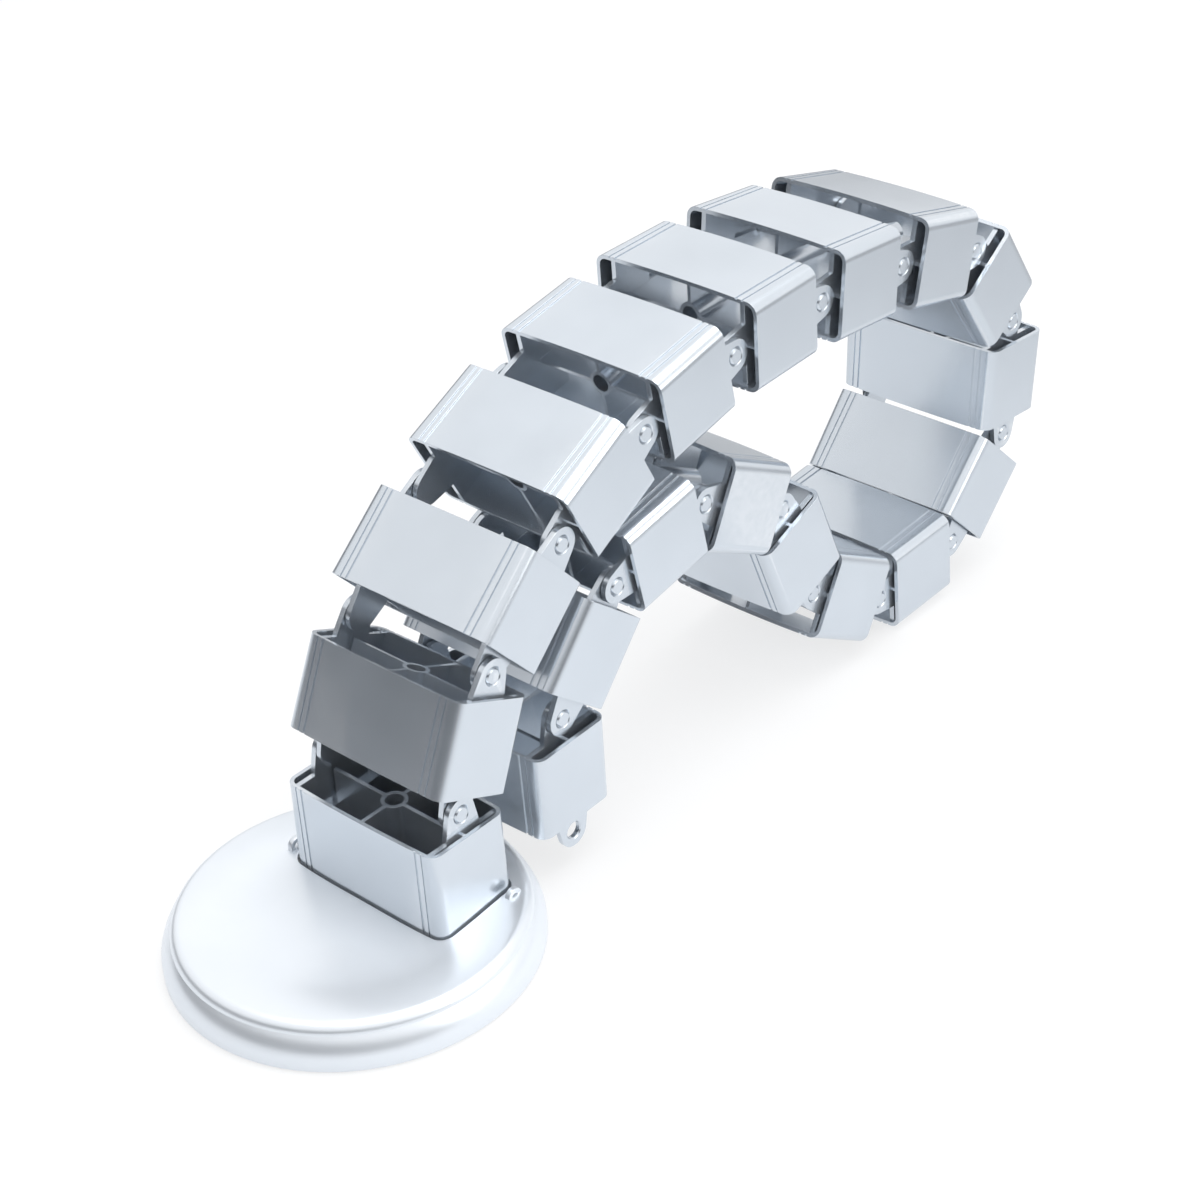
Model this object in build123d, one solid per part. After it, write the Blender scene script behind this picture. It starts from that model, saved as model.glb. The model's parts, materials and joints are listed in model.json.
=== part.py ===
from build123d import *
from math import cos, radians, sin, sqrt
import os

# Cable spine: eighteen hinged vertebrae in a chain that stands in a round weighted base.
# Millimetres, +Z up. The origin is the centre of the base on the floor, +X is across the
# vertebrae (every hinge axis is parallel to X), and the chain arches away towards +Y.

# Vertebra shell
link_count = 18
rear_width = 70.0          # outside width at the rim nearest the base
side_draft = 0.7           # how far each narrow side draws in on the way to the other rim
link_depth = 33.4          # outside depth at the corners
link_height = 32.5         # rim to rim
face_bow = 0.6             # how far the middle of each wide face stands out
corner_radius = 4.2
wall = 1.5
rim_gap = 14.0             # between two facing rims when the chain is straight

# Grooves that run along both wide faces beside each corner
groove_insets = (5.4, 8.0)
groove_widths = (0.6, 0.9)
groove_depth = 0.5

# Side plates, ears and studs
plate_thickness = 2.0
plate_gap = 1.4            # slit between each narrow side and the plate beside it
ear_clearance = 0.3        # between an ear and the ear beside it
ear_radius = 6.0
ear_root = 7.6             # half of an ear's width where it leaves the plate
hinge_radius = 3.0         # hole in the outer ear
hinge_mouth = 0.5          # chamfer at the outer end of that hole
hinge_clearance = 0.05     # radial, between the hole and the stud of the inner ear
stud_proud = 0.3
stud_chamfer = 0.6
plate_recess = 1.0         # plates stop this far inside each rim
joggle = 3.0               # height of the step between the two halves of a plate
web = 1.4                  # thickness of every web
core_outer_radius = 4.6
core_bore_radius = 3.2
front_core_recess = 1.5    # ring and webs stop this far inside the front rim
rear_core_recess = 7.0     # and this far inside the rear rim, where leads turn in

# Rest pose: turn of each vertebra from the one before it, in degrees, towards +Y
rest_turns = (24.5, 24.0, 15.0, 16.0, 9.5, 7.0, 8.5, 42.0, 38.5,
              39.5, 42.5, 33.0, 39.0, -41.0, -39.5, -39.0, -41.0)
seat_height = 12.5         # visible foot of the first vertebra, above the floor

# Base cover, seen from outside; heights are above the floor
base_radius = 63.0
skirt_lift = 0.6           # bottom of the skirt
skirt_top = 5.0            # where the wall starts to lean in
wall_bulge = 0.5           # how far the leaning wall rounds out from straight
crease_inset = 3.6         # crease between wall and bead, inside the base's edge
crease_height = 11.8
bead_inset = 7.4           # top of the rolled bead, inside the base's edge
bead_height = 15.2
bead_bulge = 1.0           # how far the outer flank of the bead rounds out from straight
dish_inset = 26.0          # where the fall from the bead has nearly levelled out
dish_rise = 0.5            # height left there above the floor of the dish
skirt_wall = 2.0
foot_depth = 1.6           # how far the first vertebra sinks through the cover
foot_margin = 2.2986       # rear corners of the foot stay this far inside the top of the bead
foot_clearance = 0.8
seat_round = 1.0           # rounded edge of the opening round the foot
lug_length = 6.0           # two lugs stand beside opposite corners of the foot
lug_thickness = 2.0
lug_clearance = 0.5        # between the rounded edge of the opening and a lug
lug_height = 5.0
lug_offset = 12.6          # from the middle of the foot, along the narrow side
lug_hole_radius = 1.3

# Weight and pad inside the cover
pad_thickness = 1.5
weight_clearance = 0.3
weight_chamfer = 4.0

# Foot bolt with its threaded insert, and the cover screws
insert_wall = 0.5
thread_clearance = 0.05
insert_length = 14.0
bolt_engagement = 12.0
bolt_head_radius = 5.0
bolt_head_height = 3.2
bolt_hole_clearance = 0.4
socket_size = 4.0
socket_depth = 2.0
screw_count = 4
screw_radius = 1.5
screw_head_radius = 2.9
screw_head_height = 2.0
screw_ring_radius = 45.0
screw_bite = 1.4
screw_clearance = 0.3

# Sizes that follow from the ones above; the chain stands chain_offset behind the middle of the base
foot_reach = base_radius - bead_inset - foot_margin
chain_offset = sqrt(foot_reach ** 2 - (rear_width / 2) ** 2) - link_depth / 2
front_width = rear_width - 2 * side_draft
plate_face = front_width / 2 - wall - plate_gap
pitch = link_height + rim_gap
rear_rim = rim_gap / 2
front_rim = rear_rim + link_height
inner_plate_face = plate_face - plate_thickness - ear_clearance
dish_floor = seat_height
weight_top = dish_floor - foot_depth
cover_inner_radius = base_radius - skirt_wall
weight_radius = cover_inner_radius - weight_clearance
bolt_radius = core_bore_radius - insert_wall - thread_clearance


def tube_outline(half_width, inset, height):
    """Outline of the vertebra at one height, drawn in by inset from the outside."""
    a = half_width - inset
    b = link_depth / 2 - inset
    r = corner_radius - inset
    k = r * (1 - sqrt(0.5))
    right = ThreePointArc((a - r, -b), (a - k, -b + k), (a, -b + r))
    face = ThreePointArc((-a + r, -b), (0, -b - face_bow), (a - r, -b))
    side = Line((a, -b + r), (a, b - r))
    half = Curve() + [face, right, side, mirror(right, about=Plane.XZ)]
    left = mirror(right, about=Plane.YZ)
    whole = half + [mirror(face, about=Plane.XZ), left, mirror(side, about=Plane.YZ)]
    whole += mirror(left, about=Plane.XZ)
    return Pos(0, 0, height) * make_face(whole)


def half_width_at(height):
    """Outside half width of the shell at a height above the rear hinge."""
    share = (height - rear_rim) / link_height
    return (rear_width + (front_width - rear_width) * share) / 2


def tube(low, high, inset):
    """Tapered tube body between two heights."""
    ends = [tube_outline(half_width_at(z), inset, z) for z in (low, high)]
    return loft(ends, ruled=True)


def face_grooves(low, high):
    """Two grooves beside each corner of both wide faces."""
    cuts = Part()
    middle = (low + high) / 2
    arc_half = rear_width / 2 - corner_radius
    for inset, width in zip(groove_insets, groove_widths):
        x = front_width / 2 - inset
        surface = link_depth / 2 + face_bow * (1 - (x / arc_half) ** 2)
        for side in (-1, 1):
            for face in (-1, 1):
                y = face * (surface - groove_depth + wall)
                place = Pos(side * x, y, middle)
                cuts += place * Box(width, 2 * wall, high - low + 2 * wall)
    return cuts


def ear(outer_face, pivot, towards):
    """Rounded ear in the YZ plane; towards is +1 for the front end and -1 for the rear."""
    rim = pivot - towards * rim_gap / 2
    root = rim - towards * 2 * plate_recess
    head = Pos(0, pivot) * Circle(ear_radius)
    foot = Polyline((-ear_root, root), (ear_root, root), (ear_root, rim), (-ear_root, rim), close=True)
    outline = make_hull(head.edges() + foot.edges())
    flat = Plane.YZ.offset(outer_face - plate_thickness) * outline
    return extrude(flat, plate_thickness)


def cylinder_x(radius, start, end, height):
    """Cylinder along X between two distances from the middle."""
    place = Pos((start + end) / 2, 0, height) * Rot(Y=90)
    return place * Cylinder(radius, end - start)


def hinge_mouth_cone():
    """Cutter for the chamfer at the outer end of the hinge hole."""
    place = Pos(plate_face - hinge_mouth / 2, 0, pitch) * Rot(Y=90)
    return place * Cone(hinge_radius, hinge_radius + hinge_mouth, hinge_mouth)


def side_plate(low, high, rear_ears):
    """One side plate: its rear half lies one ear further in than its front half."""
    depth = link_depth - wall
    middle = (rear_rim + front_rim) / 2
    inner_low = low + plate_recess
    outer_high = high - plate_recess
    inner = Pos(inner_plate_face - plate_thickness / 2, 0, (inner_low + middle) / 2)
    outer = Pos(plate_face - plate_thickness / 2, 0, (outer_high + middle) / 2)
    step_width = plate_face - inner_plate_face + plate_thickness
    plate = inner * Box(plate_thickness, depth, middle - inner_low)
    plate += outer * Box(plate_thickness, depth, outer_high - middle)
    plate += Pos(plate_face - step_width / 2, 0, middle) * Box(step_width, depth, joggle)
    reach = rear_width / 2 - wall / 2
    for start, bottom, top in ((inner_plate_face, inner_low, middle), (plate_face, middle, outer_high)):
        place = Pos((start + reach) / 2, 0, (bottom + top) / 2)
        plate += place * Box(reach - start, web, top - bottom)
    plate += ear(plate_face, pitch, 1)
    plate -= cylinder_x(hinge_radius, plate_face - 2 * plate_thickness, plate_face + wall, pitch)
    plate -= hinge_mouth_cone()
    if rear_ears:
        plate += ear(inner_plate_face, 0, -1)
        stud = cylinder_x(hinge_radius - hinge_clearance, inner_plate_face - plate_thickness / 2,
                          plate_face + stud_proud, 0)
        plate += chamfer(stud.edges().filter_by(GeomType.CIRCLE).sort_by(Axis.X)[-1], stud_chamfer)
    return plate


def core(low, high, rear_recess):
    """Middle ring with four webs that divide the tube into cable channels."""
    bottom = low + rear_recess
    top = high - front_core_recess
    height = top - bottom
    place = Pos(0, 0, (bottom + top) / 2)
    ring = Cylinder(core_outer_radius, height)
    across = Box(2 * inner_plate_face - plate_thickness, web, height)
    along = Box(web, link_depth - wall, height)
    bore = Cylinder(core_bore_radius, height + 2 * wall)
    return place * (ring + across + along - bore)


def vertebra(foot=0.0):
    """One vertebra with its rear hinge axis on X; a foot in place of the rear ears if asked."""
    low = rear_rim - foot
    shell = tube(low, front_rim, 0) - tube(low - wall, front_rim + wall, wall)
    shell -= face_grooves(low, front_rim)
    plate = side_plate(low, front_rim, foot == 0)
    middle = core(low, front_rim, 0 if foot else rear_core_recess)
    inside = plate + mirror(plate, about=Plane.YZ) + middle
    body = shell + (inside & tube(low - rim_gap, front_rim + rim_gap, wall / 2))
    return body.clean()


def chain_places():
    """Place of every vertebra's rear hinge axis, from the base to the free end."""
    places = []
    y = chain_offset
    z = seat_height - rear_rim
    turn = 0.0
    for number in range(link_count):
        places.append(Pos(0, y, z) * Rot(X=-turn))
        y += pitch * sin(radians(turn))
        z += pitch * cos(radians(turn))
        if number < len(rest_turns):
            turn += rest_turns[number]
    return places


def screw_places():
    """Cover screws on a circle, turned to miss the foot bolt."""
    return PolarLocations(screw_ring_radius, screw_count, start_angle=45)


def base_pad():
    """Non-slip pad under the weight, open round the bolt head and the screws."""
    pad = Pos(0, 0, pad_thickness / 2) * Cylinder(weight_radius, pad_thickness)
    pad -= Pos(0, chain_offset, 0) * Cylinder(bolt_head_radius + bolt_hole_clearance, 4 * pad_thickness)
    for place in screw_places():
        pad -= place * Cylinder(screw_head_radius + screw_clearance, 4 * pad_thickness)
    return pad


def base_weight():
    """Heavy disc inside the cover, with room for the heads of the bolt and the screws."""
    thickness = weight_top - pad_thickness
    disc = Pos(0, 0, pad_thickness + thickness / 2) * Cylinder(weight_radius, thickness)
    corner = disc.edges().filter_by(GeomType.CIRCLE).sort_by(Axis.Z)[-1]
    disc = chamfer(corner, weight_chamfer)
    middle = Pos(0, chain_offset, 0)
    disc -= middle * Cylinder(bolt_radius + bolt_hole_clearance, 4 * weight_top)
    head_space = Cylinder(bolt_head_radius + bolt_hole_clearance, bolt_head_height + screw_clearance)
    disc -= middle * Pos(0, 0, pad_thickness + (bolt_head_height + screw_clearance) / 2) * head_space
    sink = screw_head_height + screw_clearance
    for place in screw_places():
        disc -= place * Cylinder(screw_radius + screw_clearance, 4 * weight_top)
        pocket = Cylinder(screw_head_radius + screw_clearance, sink)
        disc -= place * Pos(0, 0, pad_thickness + sink / 2) * pocket
    return disc


def foot_outline(clearance):
    """Plan of the first vertebra's foot, grown by a clearance."""
    grown = offset(tube_outline(half_width_at(rear_rim - foot_depth), 0, 0), clearance)
    return Pos(0, chain_offset, 0) * grown


def bulged(start, end, bulge):
    """Arc between two points that rounds out from the straight line by bulge."""
    run = end[0] - start[0]
    rise = end[1] - start[1]
    length = sqrt(run * run + rise * rise)
    x = (start[0] + end[0]) / 2 + bulge * rise / length
    y = (start[1] + end[1]) / 2 - bulge * run / length
    return ThreePointArc(start, (x, y), end)


def lug():
    """Upright eyelet beside the foot, in the YZ plane."""
    head = Pos(0, lug_height - lug_length / 2) * Circle(lug_length / 2)
    stem = Pos(0, lug_height / 2 - lug_length / 4) * Rectangle(lug_length, lug_height - lug_length / 2)
    root = Pos(0, -foot_depth / 4) * Rectangle(lug_length, foot_depth / 2)
    hole = Pos(0, lug_height - lug_length / 2) * Circle(lug_hole_radius)
    return extrude(Plane.YZ * (head + stem + root - hole), lug_thickness)


def base_cover():
    """Painted lid: leaning wall, crease, rolled bead and shallow dish in one skin, open at the foot."""
    edge = base_radius
    inner = cover_inner_radius
    crease = (edge - crease_inset, crease_height)
    crest = (edge - bead_inset, bead_height)
    level = (edge - dish_inset, dish_floor + dish_rise)
    skin = Curve() + [
        Line((0, weight_top), (inner - weight_chamfer, weight_top)),
        Line((inner - weight_chamfer, weight_top), (inner, weight_top - weight_chamfer)),
        Line((inner, weight_top - weight_chamfer), (inner, skirt_lift)),
        Line((inner, skirt_lift), (edge, skirt_lift)),
        Line((edge, skirt_lift), (edge, skirt_top)),
        bulged((edge, skirt_top), crease, wall_bulge),
        bulged(crease, crest, bead_bulge),
        Spline(crest, level, (0, dish_floor), tangents=[(-1, 0), (-1, 0)]),
        Line((0, dish_floor), (0, weight_top)),
    ]
    lid = revolve(Plane.XZ * make_face(skin), Axis.Z)
    cutter = extrude(Pos(0, 0, weight_top - wall) * foot_outline(foot_clearance), bead_height)
    open_lid = lid - cutter
    mouth = new_edges(lid, cutter, combined=open_lid).filter_by(Axis.Z, reverse=True)
    mouth = mouth.filter_by_position(Axis.Z, dish_floor - foot_depth / 2, bead_height)
    open_lid = fillet(mouth, seat_round)
    near = rear_width / 2 + foot_clearance + seat_round + lug_clearance
    open_lid += Pos(near, chain_offset + lug_offset, dish_floor) * lug()
    open_lid += Pos(-near - lug_thickness, chain_offset - lug_offset, dish_floor) * lug()
    for place in screw_places():
        open_lid -= place * Pos(0, 0, weight_top) * Cylinder(screw_radius, 2 * screw_bite)
    return open_lid


def foot_insert():
    """Threaded sleeve pressed into the ring of the first vertebra."""
    bottom = weight_top
    sleeve = Cylinder(core_bore_radius, insert_length)
    sleeve -= Cylinder(core_bore_radius - insert_wall, insert_length)
    return Pos(0, chain_offset, bottom + insert_length / 2) * sleeve


def foot_bolt():
    """Bolt from below that holds the first vertebra to the weight."""
    head_bottom = pad_thickness + screw_clearance
    head_top = head_bottom + bolt_head_height
    top = weight_top + bolt_engagement
    head = Pos(0, 0, head_bottom + bolt_head_height / 2) * Cylinder(bolt_head_radius, bolt_head_height)
    shank = Pos(0, 0, (head_top + top) / 2) * Cylinder(bolt_radius, top - head_top)
    key = extrude(RegularPolygon(socket_size / 2, 6, major_radius=False), 2 * socket_depth)
    bolt = head + shank - Pos(0, 0, head_bottom - socket_depth) * key
    return Pos(0, chain_offset, 0) * bolt


def cover_screws():
    """Screws that pull the cover down on the weight, as separate solids."""
    head_bottom = pad_thickness + screw_clearance
    top = weight_top + screw_bite
    head = Pos(0, 0, head_bottom + screw_head_height / 2) * Cylinder(screw_head_radius, screw_head_height)
    shank = Pos(0, 0, (head_bottom + top) / 2) * Cylinder(screw_radius, top - head_bottom)
    key = Pos(0, 0, head_bottom) * Box(screw_radius / 2, screw_radius * 2, screw_head_height)
    screw = head + shank - key - key.rotate(Axis.Z, 90)
    return Compound([place * screw for place in screw_places()])


def write(shape, node):
    export_step(shape, f"parts/{node}.step")


os.makedirs("parts", exist_ok=True)
write(base_pad(), "base_pad")
write(base_weight(), "base_weight")
write(base_cover(), "base_cover")
write(foot_insert(), "foot_insert")
write(foot_bolt(), "foot_bolt")
write(cover_screws(), "cover_screws")

plain_vertebra = vertebra()
foot_vertebra = vertebra(foot_depth)
for index, place in enumerate(chain_places()):
    solid = foot_vertebra if index == 0 else plain_vertebra
    write(place * solid, f"vertebra_{index + 1:02d}")
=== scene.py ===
import bpy
import json
import math
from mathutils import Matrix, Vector


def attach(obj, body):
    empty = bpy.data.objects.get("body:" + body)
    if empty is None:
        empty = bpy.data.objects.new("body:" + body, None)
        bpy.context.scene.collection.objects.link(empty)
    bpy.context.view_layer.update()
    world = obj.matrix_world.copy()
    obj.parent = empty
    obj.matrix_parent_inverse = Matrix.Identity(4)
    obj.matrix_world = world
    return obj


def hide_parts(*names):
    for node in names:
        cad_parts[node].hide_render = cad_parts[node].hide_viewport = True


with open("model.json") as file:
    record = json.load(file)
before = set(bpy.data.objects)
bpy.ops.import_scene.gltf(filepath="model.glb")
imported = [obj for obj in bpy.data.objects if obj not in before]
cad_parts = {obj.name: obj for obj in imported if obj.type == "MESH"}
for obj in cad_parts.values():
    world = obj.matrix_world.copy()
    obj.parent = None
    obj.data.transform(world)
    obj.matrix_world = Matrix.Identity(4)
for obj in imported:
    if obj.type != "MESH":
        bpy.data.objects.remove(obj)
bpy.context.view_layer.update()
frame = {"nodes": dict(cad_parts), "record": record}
print("frame loaded")

# what all pieces share
mm = 0.001
nodes = frame["nodes"]
bodyOf = {node: body for body, names in frame["record"]["behaviour"]["bodies"].items() for node in names}
linkNames = sorted(name for name in nodes if name.startswith("vertebra_"))


def deselect():
    if bpy.context.object and bpy.context.object.mode != "OBJECT":
        bpy.ops.object.mode_set(mode="OBJECT")
    bpy.ops.object.select_all(action="DESELECT")


def pick(piece):
    deselect()
    piece.select_set(True)
    bpy.context.view_layer.objects.active = piece


def settle(piece):
    # place and size go into the mesh, so the object sits at the origin
    pick(piece)
    bpy.ops.object.transform_apply(location=True, rotation=True, scale=True)


def addModifier(piece, kind, **settings):
    pick(piece)
    modifier = piece.modifiers.new(kind.lower(), kind)
    for name, value in settings.items():
        setattr(modifier, name, value)
    bpy.ops.object.modifier_apply(modifier=modifier.name)


def smoothByAngle(piece, degrees):
    pick(piece)
    bpy.ops.object.shade_smooth_by_angle(angle=math.radians(degrees))


def dress(piece, node, material):
    # the piece stands for a CAD node and rides with its body
    piece.data.materials.clear()
    piece.data.materials.append(material)
    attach(piece, bodyOf[node])
    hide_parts(node)


# camera, at the photograph's angle
cameraLook = {
    "place": (0.5125, -0.4115, 0.5446),
    "turn": (57.22, 3.12, 41.63),
    "lens": 77.1,
    "sensor": 36.0,
}


def placeCamera():
    deselect()
    turn = [math.radians(angle) for angle in cameraLook["turn"]]
    bpy.ops.object.camera_add(location=cameraLook["place"], rotation=turn)
    camera = bpy.context.object
    camera.data.lens = cameraLook["lens"]
    camera.data.sensor_width = cameraLook["sensor"]
    camera.data.clip_start = 0.02
    bpy.context.scene.camera = camera
    print("camera placed")


# shader groups that several finishes use
def newGroup(name, inputs, outputs):
    group = bpy.data.node_groups.new(name, "ShaderNodeTree")
    for label, kind, value in inputs:
        socket = group.interface.new_socket(label, in_out="INPUT", socket_type=kind)
        socket.default_value = value
    for label, kind in outputs:
        group.interface.new_socket(label, in_out="OUTPUT", socket_type=kind)
    start = group.nodes.new("NodeGroupInput")
    end = group.nodes.new("NodeGroupOutput")
    return group, start, end


grainNoise = {
    "Scale": {"Detail": 3.0, "Roughness": 0.6},
    "Patch Scale": {"Detail": 4.0, "Roughness": 0.55},
}


def makeGrain():
    # fine grain and broad patches of a moulded or sprayed surface, both about 0 to 1
    inputs = [("Scale", "NodeSocketFloat", 900.0), ("Patch Scale", "NodeSocketFloat", 60.0)]
    outputs = [("Grain", "NodeSocketFloat"), ("Patches", "NodeSocketFloat")]
    group, start, end = newGroup("sprayGrain", inputs, outputs)
    link = group.links.new
    place = group.nodes.new("ShaderNodeTexCoord")
    for scale, output in (("Scale", "Grain"), ("Patch Scale", "Patches")):
        noise = group.nodes.new("ShaderNodeTexNoise")
        for label, value in grainNoise[scale].items():
            noise.inputs[label].default_value = value
        link(place.outputs["Object"], noise.inputs["Vector"])
        link(start.outputs[scale], noise.inputs["Scale"])
        link(noise.outputs["Fac"], end.inputs[output])
    return group


# how much of the colour's spread comes from single flakes; the rest comes from the patches
flakeShare = 0.03


def makeFlakes():
    # metal flakes in the lacquer: small cells, each a little lighter or darker
    inputs = [("Scale", "NodeSocketFloat", 2600.0), ("Dark", "NodeSocketColor", (0.5, 0.5, 0.5, 1)),
              ("Light", "NodeSocketColor", (0.7, 0.7, 0.7, 1)), ("Patches", "NodeSocketFloat", 0.5)]
    outputs = [("Color", "NodeSocketColor"), ("Sparkle", "NodeSocketFloat")]
    group, start, end = newGroup("metalFlakes", inputs, outputs)
    link = group.links.new
    place = group.nodes.new("ShaderNodeTexCoord")
    cells = group.nodes.new("ShaderNodeTexVoronoi")
    link(place.outputs["Object"], cells.inputs["Vector"])
    link(start.outputs["Scale"], cells.inputs["Scale"])
    grey = group.nodes.new("ShaderNodeSeparateColor")
    link(cells.outputs["Color"], grey.inputs["Color"])
    broad = group.nodes.new("ShaderNodeMath")
    broad.operation = "MULTIPLY"
    broad.inputs[1].default_value = 1 - flakeShare
    link(start.outputs["Patches"], broad.inputs[0])
    blend = group.nodes.new("ShaderNodeMath")
    blend.operation = "MULTIPLY_ADD"
    blend.inputs[1].default_value = flakeShare
    link(grey.outputs["Red"], blend.inputs[0])
    link(broad.outputs["Value"], blend.inputs[2])
    mix = group.nodes.new("ShaderNodeMix")
    mix.data_type = "RGBA"
    link(blend.outputs["Value"], mix.inputs["Factor"])
    link(start.outputs["Dark"], mix.inputs["A"])
    link(start.outputs["Light"], mix.inputs["B"])
    link(mix.outputs["Result"], end.inputs["Color"])
    link(grey.outputs["Green"], end.inputs["Sparkle"])
    return group


def makeEdgeHighlight():
    # painted highlight: a mask of convex edges, found by pointiness and broken up by the grain, where the
    # colour is painted brighter
    inputs = [("Start", "NodeSocketFloat", 0.53), ("End", "NodeSocketFloat", 0.62),
              ("Breakup", "NodeSocketFloat", 0.5)]
    group, start, end = newGroup("paintedEdgeHighlight", inputs, [("Mask", "NodeSocketFloat")])
    link = group.links.new
    shape = group.nodes.new("ShaderNodeNewGeometry")
    ramp = group.nodes.new("ShaderNodeMapRange")
    ramp.interpolation_type = "SMOOTHSTEP"
    link(shape.outputs["Pointiness"], ramp.inputs["Value"])
    link(start.outputs["Start"], ramp.inputs["From Min"])
    link(start.outputs["End"], ramp.inputs["From Max"])
    worn = group.nodes.new("ShaderNodeMath")
    worn.operation = "MULTIPLY"
    link(ramp.outputs["Result"], worn.inputs[0])
    link(start.outputs["Breakup"], worn.inputs[1])
    link(worn.outputs["Value"], end.inputs["Mask"])
    return group


groups = {"grain": makeGrain(), "flakes": makeFlakes(), "edgeHighlight": makeEdgeHighlight()}
print("shader groups made")


def newMaterial(name, **values):
    material = bpy.data.materials.new(name)
    material.use_nodes = True
    shader = material.node_tree.nodes["Principled BSDF"]
    for label, value in values.items():
        shader.inputs[label.replace("_", " ")].default_value = value
    return material, shader


def addGroup(material, key, **values):
    node = material.node_tree.nodes.new("ShaderNodeGroup")
    node.node_tree = groups[key]
    for label, value in values.items():
        node.inputs[label.replace("_", " ")].default_value = value
    return node


def mathNode(material, operation, first, second, third=None):
    node = material.node_tree.nodes.new("ShaderNodeMath")
    node.operation = operation
    for socket, value in zip(node.inputs, (first, second, third)):
        if value is None:
            continue
        if isinstance(value, (int, float)):
            socket.default_value = value
        else:
            material.node_tree.links.new(value, socket)
    return node.outputs["Value"]


def bumpNode(material, shader, height, relief):
    bump = material.node_tree.nodes.new("ShaderNodeBump")
    bump.inputs["Distance"].default_value = relief["distance"] * mm
    bump.inputs["Strength"].default_value = relief["strength"]
    material.node_tree.links.new(height, bump.inputs["Height"])
    material.node_tree.links.new(bump.outputs["Normal"], shader.inputs["Normal"])


def mixColour(material, factor, low, high):
    mix = material.node_tree.nodes.new("ShaderNodeMix")
    mix.data_type = "RGBA"
    for label, value in (("Factor", factor), ("A", low), ("B", high)):
        if isinstance(value, tuple):
            mix.inputs[label].default_value = value
        else:
            material.node_tree.links.new(value, mix.inputs[label])
    return mix.outputs["Result"]


# sprayed silver, on the links and on the base cover; relief distances are in mm
silverLook = {"grain": 420.0, "patches": 38.0, "flakes": 2600.0, "sparkle": 0.01, "coatRough": 0.12,
              "relief": {"distance": 0.01, "strength": 0.12}}
# the last, lightest colour of each finish is a painted highlight, laid on convex edges
linkFinish = {
    "dark": (0.62, 0.665, 0.715, 1), "light": (0.71, 0.76, 0.815, 1), "edgeHighlightColour": (0.84, 0.87, 0.90, 1),
    "metallic": 0.84, "roughLow": 0.20, "roughSpread": 0.08, "coat": 0.25,
}
coverFinish = {
    "dark": (0.76, 0.80, 0.845, 1), "light": (0.82, 0.855, 0.895, 1), "edgeHighlightColour": (0.86, 0.88, 0.91, 1),
    "metallic": 0.6, "roughLow": 0.275, "roughSpread": 0.06, "coat": 0.3,
}


def makeSilver(name, finish):
    material, shader = newMaterial(name, Metallic=finish["metallic"], Coat_Weight=finish["coat"],
                                   Coat_Roughness=silverLook["coatRough"])
    link = material.node_tree.links.new
    grain = addGroup(material, "grain", Scale=silverLook["grain"], Patch_Scale=silverLook["patches"])
    flakes = addGroup(material, "flakes", Scale=silverLook["flakes"], Dark=finish["dark"],
                      Light=finish["light"])
    edgeHighlight = addGroup(material, "edgeHighlight")
    link(grain.outputs["Patches"], flakes.inputs["Patches"])
    link(grain.outputs["Grain"], edgeHighlight.inputs["Breakup"])
    # painted highlight: convex edges take the lightest colour of the finish
    colour = mixColour(material, edgeHighlight.outputs["Mask"], flakes.outputs["Color"], finish["edgeHighlightColour"])
    link(colour, shader.inputs["Base Color"])
    rough = mathNode(material, "MULTIPLY_ADD", grain.outputs["Patches"], finish["roughSpread"],
                     finish["roughLow"])
    rough = mathNode(material, "MULTIPLY_ADD", flakes.outputs["Sparkle"], silverLook["sparkle"], rough)
    link(rough, shader.inputs["Roughness"])
    bumpNode(material, shader, grain.outputs["Grain"], silverLook["relief"])
    return material


# zinc-plated screws and bolt, and the plain steel of the weight
steelLook = {"grain": 2200.0, "patches": 120.0, "roughSpread": 0.25,
             "relief": {"distance": 0.03, "strength": 0.4}}
# the last, lightest colour of each finish is a painted highlight, laid on convex edges
steelFinish = {"dark": (0.40, 0.405, 0.41, 1), "light": (0.62, 0.625, 0.63, 1),
               "edgeHighlightColour": (0.75, 0.75, 0.74, 1), "roughLow": 0.22}
plateFinish = {"dark": (0.20, 0.205, 0.21, 1), "light": (0.33, 0.33, 0.335, 1),
               "edgeHighlightColour": (0.5, 0.5, 0.5, 1), "roughLow": 0.38}


def makeSteel(name, finish):
    material, shader = newMaterial(name, Metallic=1.0)
    link = material.node_tree.links.new
    grain = addGroup(material, "grain", Scale=steelLook["grain"], Patch_Scale=steelLook["patches"])
    edgeHighlight = addGroup(material, "edgeHighlight")
    link(grain.outputs["Grain"], edgeHighlight.inputs["Breakup"])
    plain = mixColour(material, grain.outputs["Patches"], finish["dark"], finish["light"])
    # painted highlight: convex edges take the lightest colour of the finish
    link(mixColour(material, edgeHighlight.outputs["Mask"], plain, finish["edgeHighlightColour"]), shader.inputs["Base Color"])
    rough = mathNode(material, "MULTIPLY_ADD", grain.outputs["Patches"], steelLook["roughSpread"],
                     finish["roughLow"])
    link(rough, shader.inputs["Roughness"])
    bumpNode(material, shader, grain.outputs["Grain"], steelLook["relief"])
    return material


# ribbed rubber pad, seen from below
padFinish = {"dark": (0.018, 0.018, 0.02, 1), "light": (0.045, 0.045, 0.048, 1), "grain": 1100.0,
             "patches": 70.0, "roughLow": 0.62, "roughSpread": 0.2, "ribs": 150.0, "grainHeight": 0.3,
             "relief": {"distance": 0.3, "strength": 0.8}}


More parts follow.
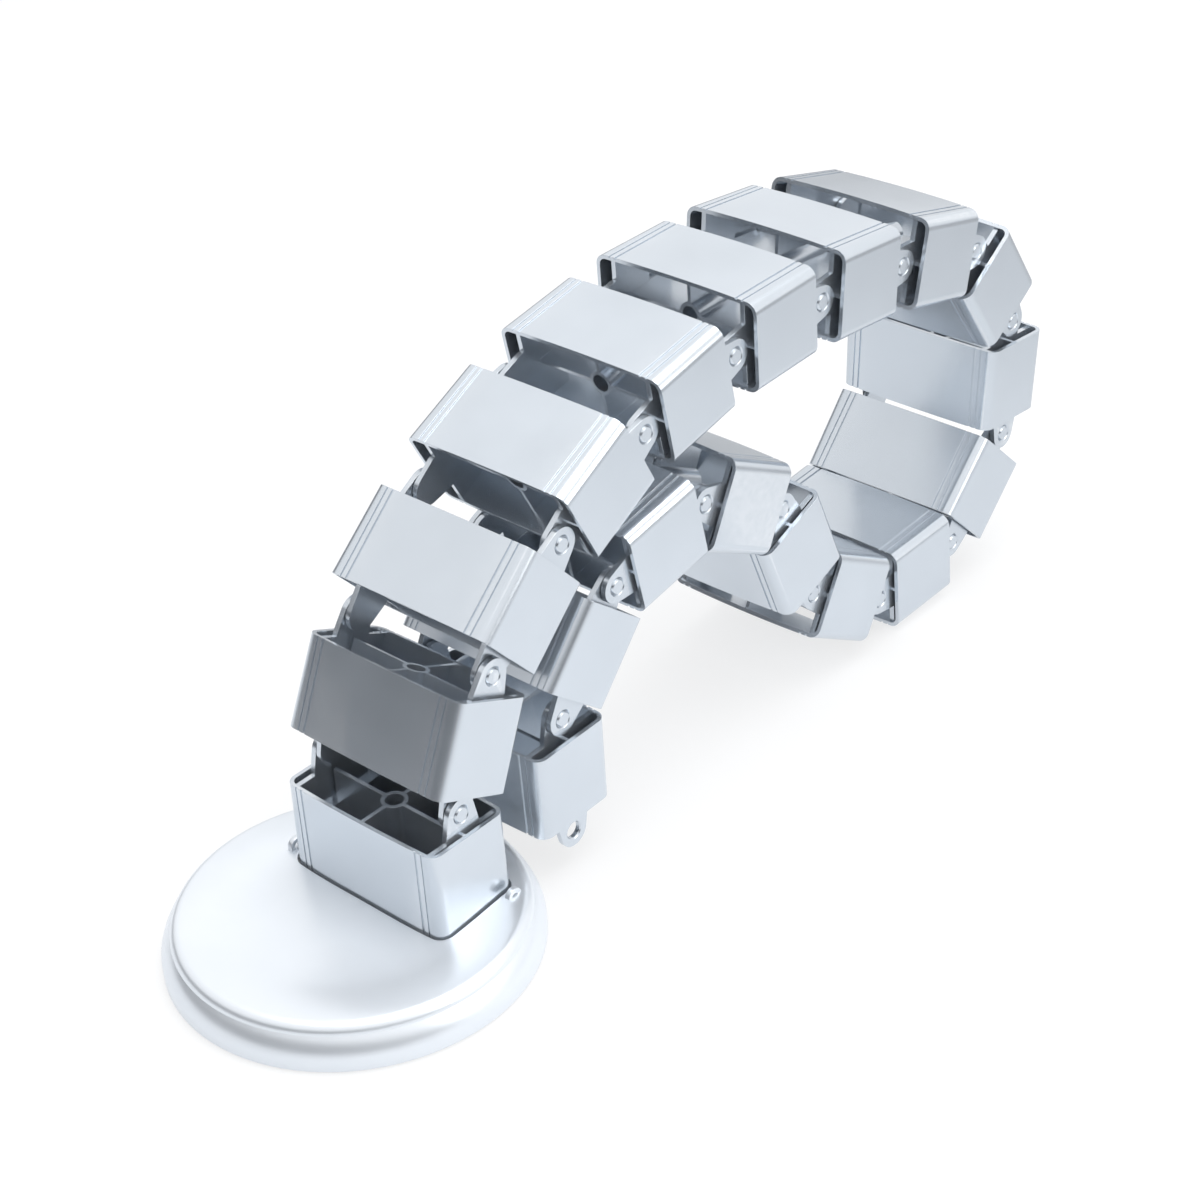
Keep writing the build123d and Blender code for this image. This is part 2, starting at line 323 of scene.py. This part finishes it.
def makeRubber():
    material, shader = newMaterial("padRubber")
    link = material.node_tree.links.new
    grain = addGroup(material, "grain", Scale=padFinish["grain"], Patch_Scale=padFinish["patches"])
    colour = mixColour(material, grain.outputs["Patches"], padFinish["dark"], padFinish["light"])
    link(colour, shader.inputs["Base Color"])
    rough = mathNode(material, "MULTIPLY_ADD", grain.outputs["Grain"], padFinish["roughSpread"],
                     padFinish["roughLow"])
    link(rough, shader.inputs["Roughness"])
    place = material.node_tree.nodes.new("ShaderNodeTexCoord")
    rings = material.node_tree.nodes.new("ShaderNodeTexWave")
    rings.wave_type = "RINGS"
    rings.rings_direction = "Z"
    rings.inputs["Scale"].default_value = padFinish["ribs"]
    link(place.outputs["Object"], rings.inputs["Vector"])
    height = mathNode(material, "MULTIPLY_ADD", grain.outputs["Grain"], padFinish["grainHeight"],
                      rings.outputs["Fac"])
    bumpNode(material, shader, height, padFinish["relief"])
    return material


# turned brass of the threaded sleeve
brassFinish = {"dark": (0.42, 0.28, 0.10, 1), "light": (0.66, 0.49, 0.22, 1), "grain": 1600.0,
               "patches": 200.0, "roughLow": 0.22, "roughSpread": 0.2, "turns": 380.0,
               "relief": {"distance": 0.08, "strength": 0.6}}


def makeBrass():
    material, shader = newMaterial("sleeveBrass", Metallic=1.0)
    link = material.node_tree.links.new
    grain = addGroup(material, "grain", Scale=brassFinish["grain"], Patch_Scale=brassFinish["patches"])
    colour = mixColour(material, grain.outputs["Patches"], brassFinish["dark"], brassFinish["light"])
    link(colour, shader.inputs["Base Color"])
    rough = mathNode(material, "MULTIPLY_ADD", grain.outputs["Grain"], brassFinish["roughSpread"],
                     brassFinish["roughLow"])
    link(rough, shader.inputs["Roughness"])
    place = material.node_tree.nodes.new("ShaderNodeTexCoord")
    turns = material.node_tree.nodes.new("ShaderNodeTexWave")
    turns.bands_direction = "Z"
    turns.inputs["Scale"].default_value = brassFinish["turns"]
    link(place.outputs["Object"], turns.inputs["Vector"])
    bumpNode(material, shader, turns.outputs["Fac"], brassFinish["relief"])
    return material


materials = {
    "links": makeSilver("linkSilver", linkFinish),
    "cover": makeSilver("coverSilver", coverFinish),
    "fasteners": makeSteel("zincPlate", steelFinish),
    "weight": makeSteel("plainPlate", plateFinish),
    "pad": makeRubber(),
    "insert": makeBrass(),
}
print("materials made")

# these pieces are the CAD's solids with their edges softened; flat is how many degrees faces may
# differ and still be one, softEdge is in mm, bend and hard are the angles from which an edge is
# rounded and from which it stays sharp
linkShape = {"slot": "links", "flat": 0.4, "softEdge": 0.22, "softSteps": 2, "bend": 40, "hard": 32}
weightShape = {"slot": "weight", "flat": 0.2, "softEdge": 0.3, "softSteps": 2, "bend": 40, "hard": 30}
padShape = {"slot": "pad", "flat": 0.2, "softEdge": 0.3, "softSteps": 2, "bend": 40, "hard": 30}
sleeveShape = {"slot": "insert", "flat": 0.2, "softEdge": 0.1, "softSteps": 1, "bend": 40, "hard": 30}
boltShape = {"slot": "fasteners", "flat": 0.2, "softEdge": 0.2, "softSteps": 2, "bend": 40, "hard": 30}
screwShape = {"slot": "fasteners", "flat": 0.2, "softEdge": 0.15, "softSteps": 2, "bend": 40, "hard": 30}
hiddenPieces = [
    ("base_weight", "weight", weightShape),
    ("base_pad", "pad", padShape),
    ("foot_insert", "sleeve", sleeveShape),
    ("foot_bolt", "bolt", boltShape),
    ("cover_screws", "screws", screwShape),
]
mergeGap = 0.01


def softenNode(name, label, shape):
    deselect()
    source = nodes[name]
    piece = source.copy()
    piece.data = source.data.copy()
    piece.name = label
    piece.parent = None
    bpy.context.scene.collection.objects.link(piece)
    pick(piece)
    bpy.ops.object.mode_set(mode="EDIT")
    bpy.ops.mesh.select_all(action="SELECT")
    bpy.ops.mesh.remove_doubles(threshold=mergeGap * mm)
    bpy.ops.mesh.dissolve_limited(angle_limit=math.radians(shape["flat"]))
    bpy.ops.object.mode_set(mode="OBJECT")
    addModifier(piece, "BEVEL", width=shape["softEdge"] * mm, segments=shape["softSteps"],
                limit_method="ANGLE", angle_limit=math.radians(shape["bend"]), use_clamp_overlap=True)
    smoothByAngle(piece, shape["hard"])
    addModifier(piece, "WEIGHTED_NORMAL", keep_sharp=True)
    dress(piece, name, materials[shape["slot"]])


for name in linkNames:
    softenNode(name, "link_" + name[-2:], linkShape)
print("links softened", len(linkNames))
for name, label, shape in hiddenPieces:
    softenNode(name, label, shape)
print("hidden pieces softened")


# lid: rings of radius and height in mm, from its underside round to the middle of the dish
lidShape = {
    "steps": 192,
    "under": [(57.0, 10.9), (61.0, 6.9), (61.0, 0.6), (63.0, 0.6), (63.0, 5.0)],
    "wall": {"start": (63.0, 5.0), "end": (59.4, 11.8), "bulge": 0.5, "parts": 8},
    "bead": {"start": (59.4, 11.8), "end": (55.6, 15.2), "bulge": 1.0, "parts": 12},
    "dish": [(54.5, 15.189), (53.0, 15.138), (51.0, 15.008), (49.0, 14.813), (46.0, 14.416), (43.0, 13.94),
             (40.0, 13.444), (37.0, 13.001), (33.0, 12.571), (29.0, 12.313), (24.0, 12.174), (18.0, 12.191),
             (12.0, 12.31), (6.0, 12.44), (1.0, 12.498)],
    "softEdge": 0.8, "softSteps": 4, "bend": 60, "hard": 24,
}
# opening for the foot; its front and rear sides bow outwards
footHole = {"middle": (0.0, 23.5), "half": (35.83, 17.5), "corner": 5.0, "cornerSteps": 10, "bow": 0.6,
            "columns": 12, "bottom": 8.0, "height": 12.0}
# lugs beside opposite corners of the foot, as arches with a hole
lugShape = {"radius": 3.0, "thick": 2.0, "hole": 1.3, "holeSteps": 64, "height": 5.0, "foot": 12.5,
            "sink": 0.8, "archFill": 0.98, "archSteps": 12, "softEdge": 0.25, "softSteps": 2, "bend": 50,
            "places": [(38.3, 36.1), (-38.3, 10.9)]}
closeBy = 1e-6


def arcRings(arc):
    # points after the start of an arc that stands out from its chord by the bulge
    (r0, z0), (r1, z1) = arc["start"], arc["end"]
    length = math.hypot(r1 - r0, z1 - z0)
    radius = (length * length / 4 + arc["bulge"] ** 2) / (2 * arc["bulge"])
    half = math.asin(length / 2 / radius)
    along = ((r1 - r0) / length, (z1 - z0) / length)
    rings = []
    for part in range(1, arc["parts"] + 1):
        turn = half * (2 * part / arc["parts"] - 1)
        run = radius * math.sin(turn)
        out = radius * math.cos(turn) - radius + arc["bulge"]
        rings.append(((r0 + r1) / 2 + run * along[0] + out * along[1],
                      (z0 + z1) / 2 + run * along[1] - out * along[0]))
    return rings


def selectWhere(piece, test):
    # leaves the piece in edit mode with only the vertices that pass selected
    pick(piece)
    for part in (piece.data.vertices, piece.data.edges, piece.data.polygons):
        part.foreach_set("select", [False] * len(part))
    for vertex in piece.data.vertices:
        vertex.select = test(vertex.co)
    bpy.ops.object.mode_set(mode="EDIT")
    bpy.ops.mesh.select_mode(type="VERT")


def carve(piece, tool, operation):
    addModifier(piece, "BOOLEAN", object=tool, operation=operation, solver="EXACT")
    bpy.data.objects.remove(tool)


def layRings(rings):
    # a circle is drawn out and resized from ring to ring, then both ends are closed
    deselect()
    radius, height = (value * mm for value in rings[0])
    bpy.ops.mesh.primitive_circle_add(vertices=lidShape["steps"], radius=radius, location=(0, 0, height))
    lid = bpy.context.object
    settle(lid)
    bpy.ops.object.mode_set(mode="EDIT")
    bpy.ops.mesh.select_all(action="SELECT")
    for (r0, z0), (r1, z1) in zip(rings, rings[1:]):
        bpy.ops.mesh.extrude_region_move(TRANSFORM_OT_translate={"value": (0, 0, (z1 - z0) * mm)})
        bpy.ops.transform.resize(value=(r1 / r0, r1 / r0, 1), center_override=(0, 0, z1 * mm))
    bpy.ops.mesh.edge_face_add()
    bpy.ops.mesh.select_mode(type="EDGE")
    bpy.ops.mesh.select_all(action="DESELECT")
    bpy.ops.mesh.select_non_manifold()
    bpy.ops.mesh.edge_face_add()
    bpy.ops.mesh.select_all(action="SELECT")
    bpy.ops.mesh.normals_make_consistent(inside=False)
    bpy.ops.object.mode_set(mode="OBJECT")
    return lid


def makeFootTool():
    deselect()
    x0, y0 = (value * mm for value in footHole["middle"])
    halfX, halfY = (value * mm for value in footHole["half"])
    bottom = footHole["bottom"] * mm
    bpy.ops.mesh.primitive_grid_add(x_subdivisions=footHole["columns"], y_subdivisions=1, size=1,
                                    location=(x0, y0, bottom))
    tool = bpy.context.object
    tool.scale = (2 * halfX, 2 * halfY, 1)
    settle(tool)
    flat = halfX - footHole["corner"] * mm
    columns = sorted({round(vertex.co.x, 6) for vertex in tool.data.vertices if abs(vertex.co.x) < flat})
    for x in columns:
        selectWhere(tool, lambda place: abs(place.x - x) < closeBy)
        bow = footHole["bow"] * mm * (1 - (x / flat) ** 2)
        bpy.ops.transform.resize(value=(1, 1 + bow / halfY, 1), center_override=(x, y0, bottom))
    selectWhere(tool, lambda place: abs(place.x) > halfX - closeBy)
    bpy.ops.mesh.bevel(offset=footHole["corner"] * mm, segments=footHole["cornerSteps"], affect="VERTICES")
    bpy.ops.mesh.select_all(action="SELECT")
    bpy.ops.mesh.extrude_region_move(TRANSFORM_OT_translate={"value": (0, 0, footHole["height"] * mm)})
    bpy.ops.mesh.select_all(action="SELECT")
    bpy.ops.mesh.normals_make_consistent(inside=False)
    bpy.ops.object.mode_set(mode="OBJECT")
    return tool


def makeLugHole(x, y, z):
    deselect()
    bpy.ops.mesh.primitive_cylinder_add(vertices=lugShape["holeSteps"], radius=lugShape["hole"] * mm,
                                        depth=3 * lugShape["thick"] * mm, location=(x, y, z),
                                        rotation=(0, math.pi / 2, 0))
    hole = bpy.context.object
    settle(hole)
    return hole


def makeLug(x, y):
    top = (lugShape["foot"] + lugShape["height"]) * mm
    low = (lugShape["foot"] - lugShape["sink"]) * mm
    radius = lugShape["radius"] * mm
    deselect()
    bpy.ops.mesh.primitive_cube_add(size=1, location=(x, y, (low + top) / 2))
    lug = bpy.context.object
    lug.scale = (lugShape["thick"] * mm, 2 * radius, top - low)
    settle(lug)
    # the two upper edges along x are rounded into an arch
    selectWhere(lug, lambda place: False)
    bpy.ops.mesh.select_mode(type="EDGE")
    bpy.ops.object.mode_set(mode="OBJECT")
    for edge in lug.data.edges:
        ends = [lug.data.vertices[index].co for index in edge.vertices]
        edge.select = min(end.z for end in ends) > top - closeBy and abs(ends[0].y - ends[1].y) < closeBy
    bpy.ops.object.mode_set(mode="EDIT")
    bpy.ops.mesh.bevel(offset=radius * lugShape["archFill"], segments=lugShape["archSteps"], affect="EDGES")
    bpy.ops.object.mode_set(mode="OBJECT")
    carve(lug, makeLugHole(x, y, top - radius), "DIFFERENCE")
    addModifier(lug, "BEVEL", width=lugShape["softEdge"] * mm, segments=lugShape["softSteps"],
                limit_method="ANGLE", angle_limit=math.radians(lugShape["bend"]), use_clamp_overlap=True)
    return lug


def makeLid():
    rings = lidShape["under"] + arcRings(lidShape["wall"]) + arcRings(lidShape["bead"]) + lidShape["dish"]
    lid = layRings(rings)
    lid.name = "lid"
    carve(lid, makeFootTool(), "DIFFERENCE")
    addModifier(lid, "BEVEL", width=lidShape["softEdge"] * mm, segments=lidShape["softSteps"],
                limit_method="ANGLE", angle_limit=math.radians(lidShape["bend"]), use_clamp_overlap=True)
    for x, y in lugShape["places"]:
        carve(lid, makeLug(x * mm, y * mm), "UNION")
    smoothByAngle(lid, lidShape["hard"])
    dress(lid, "base_cover", materials["cover"])


makeLid()
print("lid made")

# floor, and the light of a white studio. The camera sees both as white. In reflections the floor
# falls off away from the object, from near to far, and the sky darkens towards a horizon that is
# lifted in front of the object and lowered behind it.
floorLook = {
    "size": 6.0, "height": -0.0002, "colour": (0.86, 0.87, 0.88, 1), "white": 0.72,
    "near": (0.95, 0.97, 1.0, 1), "far": (0.10, 0.105, 0.115, 1), "nearAt": 0.08, "farAt": 0.95,
}
worldLook = {
    "top": (0.965, 0.97, 0.98, 1), "side": (0.06, 0.066, 0.078, 1), "strength": 1.0,
    "low": 0.08, "high": 0.36, "backTilt": 0.28,
}
lamps = {
    "overhead": {"place": (0.15, 0.25, 1.3), "aim": (0.0, 0.15, 0.05), "size": 1.3, "power": 11.0},
    "rightSide": {"place": (1.3, 0.5, 0.55), "aim": (0.0, 0.12, 0.08), "size": 0.9, "power": 5.5},
}


def makeFloor():
    deselect()
    bpy.ops.mesh.primitive_plane_add(size=floorLook["size"], location=(0, 0, floorLook["height"]))
    floor = bpy.context.object
    floor.name = "studioFloor"
    settle(floor)
    material = bpy.data.materials.new("paleFloor")
    material.use_nodes = True
    tree = material.node_tree
    tree.nodes.clear()
    path = tree.nodes.new("ShaderNodeLightPath")
    matt = tree.nodes.new("ShaderNodeBsdfDiffuse")
    matt.inputs["Color"].default_value = floorLook["colour"]
    glow = tree.nodes.new("ShaderNodeEmission")
    place = tree.nodes.new("ShaderNodeTexCoord")
    reach = tree.nodes.new("ShaderNodeVectorMath")
    reach.operation = "LENGTH"
    tree.links.new(place.outputs["Object"], reach.inputs["Vector"])
    depth = tree.nodes.new("ShaderNodeMapRange")
    depth.interpolation_type = "SMOOTHSTEP"
    depth.inputs["From Min"].default_value = floorLook["nearAt"]
    depth.inputs["From Max"].default_value = floorLook["farAt"]
    tree.links.new(reach.outputs["Value"], depth.inputs["Value"])
    mirrored = tree.nodes.new("ShaderNodeMix")
    mirrored.data_type = "RGBA"
    mirrored.inputs["A"].default_value = floorLook["near"]
    mirrored.inputs["B"].default_value = floorLook["far"]
    tree.links.new(depth.outputs["Result"], mirrored.inputs["Factor"])
    tone = tree.nodes.new("ShaderNodeMix")
    tone.data_type = "RGBA"
    tone.inputs["B"].default_value = (1, 1, 1, 1)
    tree.links.new(path.outputs["Is Camera Ray"], tone.inputs["Factor"])
    tree.links.new(mirrored.outputs["Result"], tone.inputs["A"])
    tree.links.new(tone.outputs["Result"], glow.inputs["Color"])
    seen = tree.nodes.new("ShaderNodeMath")
    seen.operation = "MAXIMUM"
    tree.links.new(path.outputs["Is Camera Ray"], seen.inputs[0])
    tree.links.new(path.outputs["Is Glossy Ray"], seen.inputs[1])
    share = tree.nodes.new("ShaderNodeMath")
    share.operation = "MULTIPLY"
    share.inputs[1].default_value = floorLook["white"]
    tree.links.new(seen.outputs["Value"], share.inputs[0])
    mix = tree.nodes.new("ShaderNodeMixShader")
    tree.links.new(share.outputs["Value"], mix.inputs["Fac"])
    tree.links.new(matt.outputs["BSDF"], mix.inputs[1])
    tree.links.new(glow.outputs["Emission"], mix.inputs[2])
    end = tree.nodes.new("ShaderNodeOutputMaterial")
    tree.links.new(mix.outputs["Shader"], end.inputs["Surface"])
    floor.data.materials.append(material)


def makeWorld():
    world = bpy.data.worlds.new("whiteStudio")
    bpy.context.scene.world = world
    world.use_nodes = True
    tree = world.node_tree
    tree.nodes.clear()
    place = tree.nodes.new("ShaderNodeTexCoord")
    split = tree.nodes.new("ShaderNodeSeparateXYZ")
    tree.links.new(place.outputs["Generated"], split.inputs["Vector"])
    ramp = tree.nodes.new("ShaderNodeMapRange")
    ramp.interpolation_type = "SMOOTHSTEP"
    ramp.inputs["From Min"].default_value = worldLook["low"]
    ramp.inputs["From Max"].default_value = worldLook["high"]
    tilt = tree.nodes.new("ShaderNodeMath")
    tilt.operation = "MULTIPLY_ADD"
    tilt.inputs[1].default_value = worldLook["backTilt"]
    tree.links.new(split.outputs["Y"], tilt.inputs[0])
    tree.links.new(split.outputs["Z"], tilt.inputs[2])
    tree.links.new(tilt.outputs["Value"], ramp.inputs["Value"])
    sky = tree.nodes.new("ShaderNodeMix")
    sky.data_type = "RGBA"
    sky.inputs["A"].default_value = worldLook["side"]
    sky.inputs["B"].default_value = worldLook["top"]
    tree.links.new(ramp.outputs["Result"], sky.inputs["Factor"])
    room = tree.nodes.new("ShaderNodeBackground")
    room.inputs["Strength"].default_value = worldLook["strength"]
    tree.links.new(sky.outputs["Result"], room.inputs["Color"])
    white = tree.nodes.new("ShaderNodeBackground")
    white.inputs["Color"].default_value = (1, 1, 1, 1)
    path = tree.nodes.new("ShaderNodeLightPath")
    mix = tree.nodes.new("ShaderNodeMixShader")
    tree.links.new(path.outputs["Is Camera Ray"], mix.inputs["Fac"])
    tree.links.new(room.outputs["Background"], mix.inputs[1])
    tree.links.new(white.outputs["Background"], mix.inputs[2])
    end = tree.nodes.new("ShaderNodeOutputWorld")
    tree.links.new(mix.outputs["Shader"], end.inputs["Surface"])


def makeLamps():
    for name, look in lamps.items():
        deselect()
        bpy.ops.object.light_add(type="AREA", location=look["place"])
        lamp = bpy.context.object
        lamp.name = name
        lamp.data.shape = "DISK"
        lamp.data.size = look["size"]
        lamp.data.energy = look["power"]
        aim = Vector(look["aim"]) - Vector(look["place"])
        lamp.rotation_euler = aim.to_track_quat("-Z", "Y").to_euler()


placeCamera()
makeFloor()
makeWorld()
makeLamps()
bpy.context.scene.view_settings.view_transform = "Standard"
print("studio lit")
